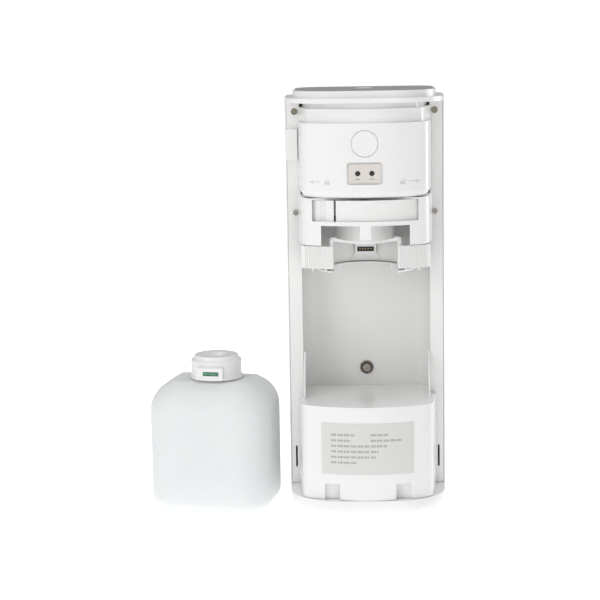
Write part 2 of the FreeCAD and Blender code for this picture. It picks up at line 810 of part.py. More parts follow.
gasket_inner = cell("gasket_inner", 6)
gasket_low = cell("gasket_low", 2.6)
gasket = Piece("dock_gasket")
gasket.turn([[(gasket_inner, head_bottom + gasket_low), (throat - 0.1, head_bottom + gasket_low),
              (throat - 0.1, throat_top - 0.1), (gasket_inner, throat_top - 0.1)]])
place(gasket.body, 0, -dock_offset, 0)

# --- turning lock collar: ribbed grip, cheeks with an arched lip, and a retaining ring ---
ring_drop = cell("ring_drop", 5.4)
ring_thick = cell("ring_thick", 1.4)
ring_lap = cell("ring_lap", 0.3)
plate_thickness = cell("plate_thickness", 3)
collar_back = cell("collar_back", 14)
collar_side = cell("collar_side", 46)
collar_corner = cell("collar_corner", 4)
collar_slack = cell("collar_slack", 1.3)
cheek = cell("cheek", 2.6)
cheek_front = cell("cheek_front", 42)
cheek_round = cell("cheek_round", 4)
web_pitch = cell("web_pitch", 11.1)
web_drop = cell("web_drop", 5)
web_half = cell("web_half", 0.6)
side_web = cell("side_web", 3.3)
groove_count = 60
collar_half = bay_half - collar_slack
ring_inner = notch_half + ring_lap
ring_outer = bay_depth + dock_offset - gap * 2
ring_bottom = collar_bottom - ring_drop
web_bottom = ring_bottom - web_drop


def collar_outline(inset=0, back=0):
    """Plan of the collar's grip about the dock axis: a bowed front with tight corners."""
    half = collar_half - inset
    side = dock_offset - collar_side + as_size(inset) * corner_lag
    line = root(half * half + front_rise * front_rise)
    bow = (line - collar_corner) * half / front_rise
    rear = dock_offset - collar_back + back
    corner = collar_corner - inset * 0.8
    return [
        (-half, rear), (-half, side, corner), (0, side - front_rise, bow), (half, side, corner),
        (half, rear),
    ]


collar = Piece("lock_collar")
collar.pad(PLAN, [collar_outline()], collar_bottom, collar_top)
collar.cut(PLAN, [collar_outline(wall, 1)], collar_bottom + plate_thickness, collar_top + 1)
collar.pad(PLAN, [(0, 0, ring_outer)], ring_bottom, ring_bottom + ring_thick)
for side in (-1, 1):
    low = notch_half if side > 0 else -notch_half - cheek
    collar.pad(SIDE, [[(0, ring_bottom), (0, collar_top), (-cheek_front, arch_top, cheek_round),
                       (-cheek_front, collar_bottom)]], low, low + cheek)
lip_half = notch_half + cheek / 2
lip_end = cell("lip_end", 3.4)
lip_middle = cell("lip_middle", 0.5)
lip_set = cell("lip_set", 0.3)
lip_radius = cell("lip_radius", 93)
lip_depth = cell("lip_depth", 3.6)
sag_middle = arch_top - arch_sag * 2
collar.pad(FORWARD, [[
    (-lip_half, arch_top - lip_end), (0, sag_middle - lip_middle, lip_radius),
    (lip_half, arch_top - lip_end), (lip_half, arch_top - lip_set),
    (0, sag_middle, lip_radius), (-lip_half, arch_top - lip_set),
]], cheek_front - lip_depth, cheek_front - cheek)
notch_front = collar_side + front_rise
collar.cut(PLAN, [box_outline(-notch_half, notch_half, -notch_front, 0)], web_bottom, collar_top)
collar.cut(PLAN, [(0, 0, ring_inner)], web_bottom, collar_bottom + plate_thickness + 1)
rear_webs = []
for index in (-2, -1, 0, 1, 2):
    middle = web_pitch * index
    near = root(ring_inner * ring_inner - middle * middle) + web_half * 4
    far = root(ring_outer * ring_outer - middle * middle) - 1
    rear_webs.append(box_outline(middle - web_half, middle + web_half, near, far))
collar.pad(PLAN, rear_webs, web_bottom, ring_bottom + ring_thick / 2)
collar.pad(PLAN, [
    box_outline(web_pitch * index - web_half, web_pitch * index + web_half,
                dock_offset - collar_side + collar_corner, dock_offset - collar_back - 1)
    for index in (-4, -3, 3, 4)
], collar_bottom - side_web, collar_bottom + 1)
collar_line = root(collar_half * collar_half + front_rise * front_rise)
collar_bow = (collar_line - collar_corner) * collar_half / front_rise
collar_middle = collar_bow * collar_line / collar_half - collar_side - front_rise + dock_offset
groove_spread = rib_pitch / collar_bow * (180 / math.pi * (groove_count - 1))
groove_drawing = collar.sketch(
    PLAN, [box_outline(-rib_width / 2, rib_width / 2, -collar_bow - 3, -collar_bow + rib_depth)],
    collar_top, (0, collar_middle))
bind(groove_drawing, "AttachmentOffset.Rotation.Angle", -groove_spread / 2)
groove = collar.feature("Pocket", groove_drawing, collar_top - collar_bottom)
collar.ring(groove, groove_count, groove_spread)
place(collar.body, 0, -dock_offset, 0)

# --- fixed rear wall of the dock with the contact socket ---
back_outer = cell("back_outer", 33)
back_inner = cell("back_inner", 31)
back_cut = cell("back_cut", 6)
back_arm = cell("back_arm", 12)
back_rib = cell("back_rib", 1.2)
socket_drop = cell("socket_drop", 138.8)
socket_setback = cell("socket_setback", 17)
socket_room = cell("socket_room", 5.5)
socket_length = bay_depth - socket_setback - socket_room
socket_half = cell("socket_half", 9.3)
socket_rise = cell("socket_rise", 4.7)
contact_half = cell("contact_half", 7.3)
contact_rise = cell("contact_rise", 2.1)
slip = cell("slip", 0.1)
socket_height = total_height - socket_drop
back_bottom = ring_bottom + ring_thick + gap * 2
dock_back = Piece("dock_back")
dock_back.pad(PLAN, [(0, 0, back_outer), (0, 0, back_inner)], back_bottom, head_bottom)
dock_back.cut(PLAN, [box_outline(-back_outer - 1, back_outer + 1, -back_outer - 1, back_cut)],
              back_bottom - 1, head_bottom + 1)
dock_back.pad(PLAN, [box_outline(-back_arm, back_arm, back_inner + 1,
                                 bay_depth + dock_offset - gap)], back_bottom, head_bottom)
for index in (-1, 0, 1):
    middle = web_pitch * index
    face = root(back_inner * back_inner - middle * middle)
    dock_back.pad(PLAN, [box_outline(middle - web_half, middle + web_half, face - back_rib,
                                     face + web_half)],
                  back_bottom, socket_height - socket_rise - 1)
dock_back.cut(FORWARD, [box_outline(-socket_half - gap, socket_half + gap,
                                    socket_height - socket_rise - gap,
                                    socket_height + socket_rise + gap)],
              -(socket_setback + socket_length + dock_offset + gap), -bores_start)
place(dock_back.body, 0, -dock_offset, 0)

socket_corner = cell("socket_corner", 1)
contact_end = cell("contact_end", 0.5)
contact_length = socket_length - contact_end
contact_sink = cell("contact_sink", 0.8)
contact_pitch = cell("contact_pitch", 2.4)
pocket_half = cell("pocket_half", 0.6)
pocket_rise = cell("pocket_rise", 0.8)
pocket_depth = cell("pocket_depth", 4)
pin_radius = cell("pin_radius", 0.4)
contact_count = 5
socket_face = -socket_setback
socket_housing = Piece("socket_housing")
socket_housing.pad(FORWARD, [
    box_outline(-socket_half, socket_half, socket_height - socket_rise,
                socket_height + socket_rise, socket_corner),
    box_outline(-contact_half, contact_half, socket_height - contact_rise,
                socket_height + contact_rise),
], socket_face - socket_length, socket_face)
contact_socket = Piece("contact_socket")
contact_socket.pad(FORWARD, [box_outline(slip - contact_half, contact_half - slip,
                                         socket_height - contact_rise + slip,
                                         socket_height + contact_rise - slip)],
                   socket_face - contact_length, socket_face - contact_sink)
contact_middles = [contact_pitch * (i - (contact_count - 1) / 2) for i in range(contact_count)]
for middle in contact_middles:
    contact_socket.cut(FORWARD, [box_outline(middle - pocket_half, middle + pocket_half,
                                             socket_height - pocket_rise,
                                             socket_height + pocket_rise)],
                       socket_face - pocket_depth, socket_face)
group("contact_pins", [
    rod("contact_pin_%d" % i, pin_radius, pocket_depth - contact_sink - slip, middle,
        pocket_depth - socket_face, socket_height, (1, 0, 0), 90)
    for i, middle in enumerate(contact_middles)
])

# --- label plate wrapped on the lower front ---
label_rise = cell("label_rise", 0.4)
label_seat = cell("label_seat", 0.05)
label_back = cell("label_back", 20)
label_plate = Piece("label_plate")
label_plate.pad(PLAN, [front_outline(label_rise, label_back, None, lower_widen)],
                label_bottom, label_top)
label_plate.cut(PLAN, [front_outline(label_seat, label_back - 1, None, lower_widen)],
                label_bottom - 1, label_top + 1)
for side in (-1, 1):
    inner, outer = label_width / 2 * side, label_width * side
    front = -front_reach - 2
    label_plate.cut(PLAN, [[(inner, 0), (outer, 0), (outer, front), (inner, front)]],
                    label_bottom - 1, label_top + 1)

# --- magnets and screws in the side flanges, cover latch ---
head_ratio = cell("head_ratio", 0.55)


def screw(label, x, y, z, head, shank, length, socket):
    """Pan head screw that faces -Y; its head seats at x, y, z and its shank runs to +Y."""
    face = ((1, 0, 0), 90)
    head_height = as_size(head) * head_ratio
    end = as_size(y) + length
    top = rod(label + "_head", head, head_height, x, y, z, *face)
    stem = rod(label + "_stem", shank, length + slip * 2, x, end, z, *face)
    key = rod(label + "_key", socket, head_height * 0.6, x, as_size(y) - head_height * 0.45, z,
              *face)
    return less(label + "_screw", join(label + "_solid", [top, stem]), key)


magnet_thick = cell("magnet_thick", 3)
magnet_proud = cell("magnet_proud", 0.4)
group("cover_magnets", [
    rod("magnet_" + word, magnet_radius, magnet_thick, fastener_half * side,
        magnet_thick - flange_front - magnet_proud, magnet_height, (1, 0, 0), 90)
    for side, word in ((-1, "left"), (1, "right"))
])
mid_head = cell("mid_head", 2.3)
mid_length = cell("mid_length", 7)
mid_key = cell("mid_key", 1)
group("flange_screws", [
    screw("flange_" + word, fastener_half * side, -flange_front - label_seat, mid_screw_height,
          mid_head, pilot_radius - slip, mid_length, mid_key)
    for side, word in ((-1, "left"), (1, "right"))
])
latch_drop = cell("latch_drop", 59.6)
latch_height = cell("latch_height", 26.7)
latch_rise = cell("latch_rise", 3)
latch_edge = cell("latch_edge", 0.5)
latch_bottom = total_height - latch_drop
latch = Piece("cover_latch")
latch.pad(SIDE, [[(-flange_front - label_seat, latch_bottom),
                  (-flange_front - latch_rise, latch_bottom, 1),
                  (-flange_front - latch_rise, latch_bottom + latch_height, 1),
                  (-flange_front - label_seat, latch_bottom + latch_height)]],
          latch_edge - half_width, -housing_flank - latch_edge)

# --- wall screw through bay back and shell, in its cup washer ---
washer_lip = cell("washer_lip", 0.5)
washer_height = cell("washer_height", 2)
washer_slope = cell("washer_slope", 1.3)
washer_seat = cell("washer_seat", 1)
wall_head = cell("wall_head", 3.6)
wall_key = cell("wall_key", 1.5)
washer = Piece("cup_washer")
washer.turn([[
    (screw_hole, 0), (washer_radius - washer_lip, 0), (washer_radius, washer_lip),
    (washer_radius - washer_slope, washer_height), (screw_hole + washer_seat, washer_seat),
    (screw_hole, washer_seat),
]])
place(washer.body, 0, bay_depth - slip / 2, screw_height, (1, 0, 0), 90)
wall_seat = bay_depth - washer_seat - slip
single("wall_screw", screw("wall", 0, wall_seat, screw_height, wall_head, screw_hole - gap,
                           shell_depth - wall_seat - slip, wall_key))

# --- air pump, its motor and crank, and the hose to the head ---
pump_drop = cell("pump_drop", 80)
pump_height = cell("pump_height", 26)
pump_half = cell("pump_half", 14)
pump_front = cell("pump_front", 26)
pump_rear = cell("pump_rear", 10)
pump_corner = cell("pump_corner", 3)
stub_length = cell("stub_length", 4)
stub_bore = cell("stub_bore", 1.2)
motor_radius = cell("motor_radius", 11.5)
motor_room = cell("motor_room", 3.6)
motor_boss = cell("motor_boss", 3)
shaft_radius = cell("shaft_radius", 1.05)
pulley_radius = cell("pulley_radius", 7)
pulley_low = cell("pulley_low", 4)
pulley_high = cell("pulley_high", 8)
crank_throw = cell("crank_throw", 3.5)
crank_pin = cell("crank_pin", 1.6)
pump_recess = cell("pump_recess", 8.5)
pump_bottom = total_height - pump_drop
motor_height = pump_bottom + pump_height / 2
motor_length = bay_depth - pump_rear - gap - plate_thick - motor_room
pump = Piece("air_pump")
pump.pad(PLAN, [box_outline(-pump_half, pump_half, -pump_front, pump_rear, pump_corner)],
         pump_bottom, pump_bottom + pump_height)
pump.pad(PLAN, [(0, -dock_offset, hose_bore - press)], pump_bottom - stub_length, pump_bottom)
pump.cut(PLAN, [(0, -dock_offset, stub_bore)], pump_bottom - stub_length,
         pump_bottom + stub_length)
pump.cut(FORWARD, [(0, motor_height, pump_recess)], -pump_rear - 1, -pump_rear + pump_recess)
motor_face = -pump_rear - gap
motor = Piece("pump_motor")
motor.pad(FORWARD, [(0, motor_height, motor_radius)], motor_face - motor_length, motor_face)
motor.pad(FORWARD, [(0, motor_height, motor_boss)], motor_face - motor_length - plate_thick,
          motor_face - motor_length)
motor.cut(FORWARD, [(0, motor_height, shaft_radius + press)],
          motor_face - motor_length - plate_thick - 1, motor_face + 1)
crank = Piece("pump_crank")
crank.pad(FORWARD, [(0, 0, shaft_radius)], -pump_rear, pulley_high)
crank.pad(FORWARD, [(0, 0, pulley_radius)], pulley_low, pulley_high)
crank.pad(FORWARD, [(crank_throw, 0, crank_pin)], pulley_low, pulley_high + 2)
place(crank.body, 0, pump_rear + 2 + gap, motor_height)

hose = Piece("air_hose")
hose.pad(PLAN, [(0, -dock_offset, hose_outer), (0, -dock_offset, hose_bore)],
         neck_top + gap, pump_bottom - gap)

# --- electronics ---
main_inner = cell("main_inner", 18)
main_outer = cell("main_outer", 46)
main_height = cell("main_height", 42)
main_stand = cell("main_stand", 6)
part_count = 4
part_pitch = cell("part_pitch", 10)
part_length = cell("part_length", 7)
part_width = cell("part_width", 12)
part_rise = cell("part_rise", 2.4)
post_radius = cell("post_radius", 2.5)
main_board = Piece("main_board")
board_back = bay_depth - main_stand
main_board.pad(FORWARD, [box_outline(main_inner, main_outer, pump_bottom,
                                     pump_bottom + main_height, 2)],
               -board_back, -board_back + board_thick)
for row in range(part_count):
    low = pump_bottom + stub_length + part_pitch * row
    near = main_inner + stub_length + row
    main_board.pad(FORWARD, [box_outline(near, near + part_width, low, low + part_length)],
                   -board_back + board_thick, -board_back + board_thick + part_rise + row)
post_z = pump_bottom + main_height - post_radius
group("board_posts", [
    rod("post_" + word, post_radius, main_stand - slip, x, bay_depth - press, post_z,
        (1, 0, 0), 90)
    for x, word in ((main_inner + pump_corner, "inner"), (bay_half - bay_corner - pump_corner, "outer"))
])

fan_half = cell("fan_half", 25)
fan_height = cell("fan_height", 15)
fan_drop = cell("fan_drop", 37)
fan_bore = cell("fan_bore", 23.6)
fan_corner = cell("fan_corner", 3)
fan_bar = cell("fan_bar", 1.5)
fan_plate = cell("fan_plate", 9)
fan_pivot = cell("fan_pivot", 1.2)
fan_pivot_top = cell("fan_pivot_top", 10)
fan_hub = cell("fan_hub", 10)
fan_low = cell("fan_low", 3)
blade_root = cell("blade_root", 8)
blade_rise = cell("blade_rise", 8)
blade_sweep = cell("blade_sweep", 6)
blade_thick = cell("blade_thick", 1.7)
blade_count = 7
fan_bottom = total_height - fan_drop
fan_frame = Piece("fan_frame")
fan_frame.pad(PLAN, [box_outline(-fan_half, fan_half, -fan_half, fan_half, fan_corner),
                     (0, 0, fan_bore)], 0, fan_height)
spoke = fan_half - 1
fan_frame.pad(PLAN, [box_outline(-fan_bar, fan_bar, -spoke, spoke)], 0, fan_bar)
fan_frame.pad(PLAN, [box_outline(-spoke, spoke, -fan_bar, fan_bar)], 0, fan_bar)
fan_frame.pad(PLAN, [(0, 0, fan_plate)], 0, fan_bar)
fan_frame.pad(PLAN, [(0, 0, fan_pivot)], fan_bar, fan_pivot_top)
place(fan_frame.body, 0, 0, fan_bottom)
fan_rotor = Piece("fan_rotor")
fan_rotor.pad(PLAN, [(0, 0, fan_hub), (0, 0, fan_pivot + 0.1)], fan_low, fan_height - 1)
blade_tip = fan_bore - fan_pivot
blade_drawing = fan_rotor.sketch(PLAN, [[
    (blade_root, -blade_sweep / 3), (blade_tip, -blade_sweep),
    (blade_tip, -blade_sweep + blade_thick), (blade_root, -blade_sweep / 3 + blade_thick),
]], fan_low + 1)
blade = fan_rotor.feature("Pad", blade_drawing, blade_rise)
fan_rotor.ring(blade, blade_count)
place(fan_rotor.body, 0, 0, fan_bottom)

jack_bore = cell("jack_bore", 3.1)
jack_depth = cell("jack_depth", 14)
jack_floor = cell("jack_floor", 2)
jack_lip = cell("jack_lip", 1.6)
jack_lip_end = cell("jack_lip_end", 3)
pin_length = cell("pin_length", 11)
jack = Piece("power_inlet")
jack_outer = inlet_radius - 0.1
lip_start = shell_sheet + slip
jack.turn([[
    (jack_bore, 0), (jack_outer, 0), (jack_outer, lip_start), (inlet_radius + jack_lip, lip_start),
    (inlet_radius + jack_lip, jack_lip_end), (jack_outer, jack_lip_end),
    (jack_outer, jack_depth + jack_floor), (0, jack_depth + jack_floor), (0, jack_depth),
    (jack_bore, jack_depth),
]])
place(jack.body, 0, shell_depth, inlet_height, (1, 0, 0), 90)
single("inlet_pin", rod("inlet_pin", 1, pin_length, 0, shell_depth - jack_depth + pin_length,
                        inlet_height, (1, 0, 0), 90))

# --- refill bottle, built about its own middle and then stood beside the tower ---
def beside(thing):
    return place(thing, bottle_x, bottle_y, 0, (0, 0, 1), bottle_turn)


def bottle_outline(inset=0):
    half, deep = bottle_width / 2 - inset, bottle_depth / 2 - inset
    return [
        (-half, -deep, bottle_front_corner - inset), (half, -deep, bottle_front_corner - inset),
        (half, deep, bottle_rear_corner - inset), (-half, deep, bottle_rear_corner - inset),
    ]


mouth_wall = cell("mouth_wall", 2)
cap_slack = cell("cap_slack", 0.4)
bottle = Piece("bottle")
cavity_top = bottle_shoulder - bottle_wall
mouth_bore = mouth_radius - mouth_wall
mouth_top = bottle_shoulder + mouth_height
bottle.pad(PLAN, [bottle_outline()], 0, bottle_shoulder)
bottle.cut(PLAN, [bottle_outline(bottle_wall)], bottle_wall, cavity_top)
bottle.round(bottle_edge - bottle_wall, at_height(cavity_top))
bottle.round(bottle_foot - bottle_wall, at_height(bottle_wall))
bottle.round(bottle_edge, at_height(bottle_shoulder))
bottle.round(bottle_foot, at_height(0))
bottle.pad(PLAN, [(0, 0, mouth_radius)], cavity_top, mouth_top)
bottle.cut(PLAN, [(0, 0, mouth_bore)], cavity_top - 1, mouth_top + 1)
beside(bottle.body)

cap_gap = cell("cap_gap", 1)
cap_flange = cell("cap_flange", 1)
cap_flange_rise = cell("cap_flange_rise", 2)
cap_step = cell("cap_step", 3.2)
cap_roof = cell("cap_roof", 5.6)
cap_dish = cell("cap_dish", 9)
cap_dish_depth = cell("cap_dish_depth", 3)
tube_radius = cell("tube_radius", 3)
cap_bottom = bottle_shoulder + cap_gap
cap_top = cap_bottom + cap_height
cap_inside = cap_top - cap_roof
cap_bore = mouth_radius + cap_slack
flange_line = cap_bottom + cap_flange_rise
cap = Piece("bottle_cap")
cap.turn([[
    (cap_bore, cap_bottom), (cap_radius + cap_flange, cap_bottom),
    (cap_radius + cap_flange, flange_line), (cap_radius, flange_line + cap_flange / 2),
    (cap_radius, cap_top - cap_step - 1, 1), (cap_radius - cap_step + 1, cap_top - cap_step, 1),
    (cap_radius - cap_step, cap_top, 1), (cap_dish, cap_top, 1),
    (cap_dish - 1, cap_top - cap_dish_depth), (tube_radius + slip * 2, cap_top - cap_dish_depth),
    (tube_radius + slip * 2, cap_inside), (cap_bore, cap_inside),
]])
block_left = cell("block_left", 12)
block_right = cell("block_right", 11.5)
block_reach = cell("block_reach", 2.6)
block_root = cell("block_root", 4)
block_rise = cell("block_rise", 10.6)
window_left = cell("window_left", 6)
window_right = cell("window_right", 8)
window_low = cell("window_low", 4.8)
window_rise = cell("window_rise", 3.6)
window_sink = cell("window_sink", 0.8)
cap.pad(PLAN, [box_outline(-block_left, block_right, -cap_radius - block_reach,
                           block_root - cap_radius)], cap_bottom + cap_gap,
        cap_bottom + cap_gap + block_rise)
cap.cut(PLAN, [(0, 0, cap_bore)], cap_bottom, cap_inside)
cap.cut(FORWARD, [box_outline(-window_left, window_right, cap_bottom + window_low,
                              cap_bottom + window_low + window_rise)],
        cap_radius - window_sink, cap_radius + block_root)
beside(cap.body)

contact_board = Piece("contact_board")
board_low = cap_bottom + window_low + 1
contact_board.pad(FORWARD, [box_outline(slip - window_left, window_right - slip, board_low,
                                        board_low + board_thick)],
                  cap_radius - window_sink + slip, cap_radius + block_reach - gap)
beside(contact_board.body)

seal_thick = cell("seal_thick", 1.2)
seal_inner = cell("seal_inner", 3)
cap_gasket = Piece("cap_gasket")
seal_top = cap_inside - slip
seal_outer = mouth_radius - slip * 2
cap_gasket.turn([[(mouth_bore - seal_inner, seal_top - seal_thick),
                  (seal_outer, seal_top - seal_thick),
                  (seal_outer, seal_top), (mouth_bore - seal_inner, seal_top)]])
beside(cap_gasket.body)

tube_end = cell("tube_end", 5)
dip_tube = Piece("dip_tube")
dip_tube.pad(PLAN, [(0, 0, tube_radius), (0, 0, tube_radius - 1)], bottle_wall + tube_end,
             cap_top - cap_dish_depth - slip * 2)
beside(dip_tube.body)

doc.recompute()


def check(thing):
    """Stops the build if an object failed or its shape is empty or broken."""
    faults = [s for s in thing.State if s in ("Invalid", "Error")]
    if faults:
        raise RuntimeError("%s: %s %s" % (thing.Label, faults, thing.getStatusString()))


for thing in doc.Objects:
    check(thing)
os.makedirs("parts", exist_ok=True)
for piece in pieces:
    shape = piece.Shape
    if shape.isNull() or not shape.isValid():
        raise RuntimeError(piece.Label + ": no valid shape")
    shape.exportStep("parts/%s.step" % piece.Label)
    print(piece.Label, len(shape.Solids), round(shape.Volume / 1000, 2), "cm3")
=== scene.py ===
import json
import math

import bmesh
import bpy
from mathutils import Matrix, Vector


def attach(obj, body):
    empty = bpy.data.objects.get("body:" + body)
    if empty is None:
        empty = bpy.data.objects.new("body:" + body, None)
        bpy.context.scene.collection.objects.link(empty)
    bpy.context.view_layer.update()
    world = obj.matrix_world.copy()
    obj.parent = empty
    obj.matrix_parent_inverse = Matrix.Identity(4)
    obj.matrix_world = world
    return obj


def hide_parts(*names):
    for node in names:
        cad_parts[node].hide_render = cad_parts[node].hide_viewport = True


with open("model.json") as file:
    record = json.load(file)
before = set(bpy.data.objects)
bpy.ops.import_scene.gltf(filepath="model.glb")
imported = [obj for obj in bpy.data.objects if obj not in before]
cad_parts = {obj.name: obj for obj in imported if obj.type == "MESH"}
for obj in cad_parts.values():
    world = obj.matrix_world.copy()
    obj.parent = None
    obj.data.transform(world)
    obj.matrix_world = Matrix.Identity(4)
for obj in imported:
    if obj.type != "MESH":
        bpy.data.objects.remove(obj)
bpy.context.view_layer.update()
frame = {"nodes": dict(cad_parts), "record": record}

nodes = frame["nodes"]
mm = 0.001
noiseMiddle = 0.5
ringUnit = 6.28         # sets the wave texture's scale from a pitch
print("frame loaded:", len(nodes), "nodes")


# shader arithmetic

class Wire:
    # a shader socket that Python's own arithmetic adds Math nodes to
    def __init__(self, finish, socket):
        self.finish = finish
        self.socket = socket

    def math(self, operation, first, second=0.0):
        return self.finish.node("ShaderNodeMath", {"operation": operation},
                                {0: first, 1: second})

    def __add__(self, other):
        return self.math("ADD", self, other)

    def __radd__(self, other):
        return self.math("ADD", other, self)

    def __sub__(self, other):
        return self.math("SUBTRACT", self, other)

    def __rsub__(self, other):
        return self.math("SUBTRACT", other, self)

    def __mul__(self, other):
        return self.math("MULTIPLY", self, other)

    def __truediv__(self, other):
        return self.math("DIVIDE", self, other)

    def __lt__(self, other):
        return self.math("LESS_THAN", self, other)

    def __gt__(self, other):
        return self.math("GREATER_THAN", self, other)

    def __abs__(self):
        return self.math("ABSOLUTE", self)

    def fraction(self):
        return self.math("FRACT", self)

    def either(self, other):
        return self.math("MAXIMUM", self, other)

    def swing(self, amount):
        # a noise about its own middle
        return (self - noiseMiddle) * amount


class Finish:
    # one material: a Principled shader and the nodes that feed it
    def __init__(self, name, constants):
        self.material = bpy.data.materials.new(name)
        self.material.use_nodes = True
        self.tree = self.material.node_tree
        self.tree.nodes.clear()
        self.shader = self.tree.nodes.new("ShaderNodeBsdfPrincipled")
        output = self.tree.nodes.new("ShaderNodeOutputMaterial")
        self.tree.links.new(self.shader.outputs[0], output.inputs["Surface"])
        for socket, value in constants.items():
            self.shader.inputs[socket].default_value = value
        place = self.tree.nodes.new("ShaderNodeTexCoord").outputs["Object"]
        self.place = Wire(self, place)

    def node(self, kind, settings, values, output=0):
        made = self.tree.nodes.new(kind)
        for key, value in settings.items():
            if key == "stops":
                self.setStops(made.color_ramp, value)
            else:
                setattr(made, key, value)
        for key, value in values.items():
            if isinstance(value, Wire):
                self.tree.links.new(value.socket, made.inputs[key])
            else:
                made.inputs[key].default_value = value
        return Wire(self, made.outputs[output])

    def setStops(self, ramp, stops):
        while len(ramp.elements) < len(stops):
            ramp.elements.new(0.5)
        for element, (position, colour) in zip(ramp.elements, stops):
            element.position = position
            element.color = colour

    def feed(self, socket, wire):
        self.tree.links.new(wire.socket, self.shader.inputs[socket])

    def noise(self, size, detail=2.0, roughness=0.5, place=None):
        return self.node("ShaderNodeTexNoise", {}, {
            "Vector": place or self.place, "Scale": 1 / size, "Detail": detail,
            "Roughness": roughness})

    def blend(self, mask, first, second):
        return self.node("ShaderNodeMix", {"data_type": "RGBA"},
                         {0: mask, 6: first, 7: second}, 2)

    def bump(self, height, distance, strength=1.0):
        self.feed("Normal", self.node("ShaderNodeBump", {}, {
            "Strength": strength, "Distance": distance, "Height": height}))

    def axes(self):
        split = self.tree.nodes.new("ShaderNodeSeparateXYZ")
        self.tree.links.new(self.place.socket, split.inputs[0])
        return [Wire(self, socket) for socket in split.outputs]


def tint(colour, factor):
    return tuple(min(1.0, c * factor) for c in colour[:3]) + (1.0,)


moulded = {
    "driftSize": 60 * mm, "darker": 0.975, "lighter": 1.02,
    "dustSize": 9 * mm, "dustLevel": 0.68, "dustAmount": 0.06, "dustTint": 0.8,
    "skinRough": 0.1, "driftRough": 0.08,
}


# moulded plastic and coated sheet: a fine spark-eroded or orange-peel skin over slow tone drift
def mouldedFinish(name, colour, rough=0.4, grain=0.35 * mm, relief=0.02 * mm, constants=None,
                  marks=None, markColour=(0.5, 0.5, 0.5, 1)):
    m = moulded
    finish = Finish(name, dict(constants or {}))
    drift = finish.noise(m["driftSize"], 3)
    skin = finish.noise(grain, 4, 0.6)
    dust = finish.noise(m["dustSize"], 5, 0.65)
    base = finish.blend(drift, tint(colour, m["darker"]), tint(colour, m["lighter"]))
    base = finish.blend((dust > m["dustLevel"]) * m["dustAmount"], base,
                        tint(colour, m["dustTint"]))
    if marks:
        base = finish.blend(marks(finish), base, markColour)
    finish.feed("Base Color", base)
    finish.feed("Roughness", rough + skin.swing(m["skinRough"]) + drift.swing(m["driftRough"]))
    finish.bump(skin, relief)
    return finish.material


# turned or drawn metal: rings of fine tool marks across the surface, dulled in patches
def metalFinish(name, colour, rough=0.3, pitch=0.25 * mm, centre=(0, 0, 0)):
    finish = Finish(name, {"Metallic": 1.0})
    middle = finish.node("ShaderNodeVectorMath", {"operation": "SUBTRACT"},
                         {0: finish.place, 1: centre})
    rings = finish.node("ShaderNodeTexWave", {"wave_type": "RINGS", "rings_direction": "Y"}, {
        "Vector": middle, "Scale": 1 / pitch / ringUnit, "Distortion": 1.5, "Detail": 3.0}, 1)
    patches = finish.noise(2 * mm, 4, 0.6)
    finish.feed("Base Color", finish.blend(patches, tint(colour, 0.72), tint(colour, 1.15)))
    finish.feed("Roughness", rough + patches.swing(0.3))
    finish.bump(rings, 0.008 * mm)
    return finish.material


def rubberFinish(name, colour, rough=0.7):
    finish = Finish(name, {"Specular IOR Level": 0.3})
    mottle = finish.noise(3 * mm, 5, 0.6)
    skin = finish.noise(0.5 * mm, 3)
    finish.feed("Base Color", finish.blend(mottle, tint(colour, 0.8), tint(colour, 1.25)))
    finish.feed("Roughness", rough + skin.swing(0.2))
    finish.bump(skin, 0.03 * mm)
    return finish.material


# frosted polyethylene with the cloudiness of a blown wall
def bottleFinish(name):
    finish = Finish(name, {"IOR": 1.45, "Transmission Weight": 0.08, "Subsurface Weight": 0.5,
                           "Subsurface Radius": (0.03, 0.03, 0.032), "Subsurface Scale": 1.0})
    cloud = finish.noise(28 * mm, 3, 0.55)
    ripple = finish.noise(7 * mm, 2, 0.4)
    skin = finish.noise(0.6 * mm, 3)
    finish.feed("Base Color",
                finish.blend(cloud, (0.82, 0.845, 0.85, 1), (0.88, 0.895, 0.895, 1)))
    finish.feed("Roughness", 0.42 + cloud.swing(0.12))
    finish.bump(ripple * 0.7 + skin * 0.3, 0.12 * mm, 0.5)
    return finish.material


def boardFinish(name):
    finish = Finish(name, {"Coat Weight": 0.3})
    tracks = finish.node("ShaderNodeTexBrick", {"offset": 0.5}, {
        "Vector": finish.place, "Scale": 220.0, "Mortar Size": 0.03,
        "Color1": (0.05, 0.25, 0.12, 1), "Color2": (0.06, 0.3, 0.15, 1),
        "Mortar": (0.1, 0.4, 0.2, 1)})
    finish.feed("Base Color", tracks)
    finish.feed("Roughness", 0.35 + finish.noise(1 * mm, 3) * 0.2)
    finish.bump(finish.noise(0.8 * mm, 2), 0.02 * mm)
    return finish.material


# printed marks: plain bars, arrows and padlocks, no lettering

def barMask(across, up, x0, x1, z, height):
    inside = (across > x0) * (across < x1)
    return inside * (abs(up - z) < height / 2)


labelPrint = {
    "left": -30.8 * mm, "second": 2.4 * mm, "top": 75.2 * mm, "pitch": 4.75 * mm,
    "height": 1.9 * mm, "word": 5.5 * mm, "wordPart": 0.86, "letter": 1.25 * mm,
    "letterPart": 0.66, "wobble": 1.1 * mm, "wobbleAmount": 0.5, "strength": 0.75,
    "rows": ((0, 0, 20), (1, 0, 17), (0, 1, 15), (1, 1, 26), (2, 0, 47), (3, 0, 40), (4, 0, 38),
             (5, 0, 22)),
}


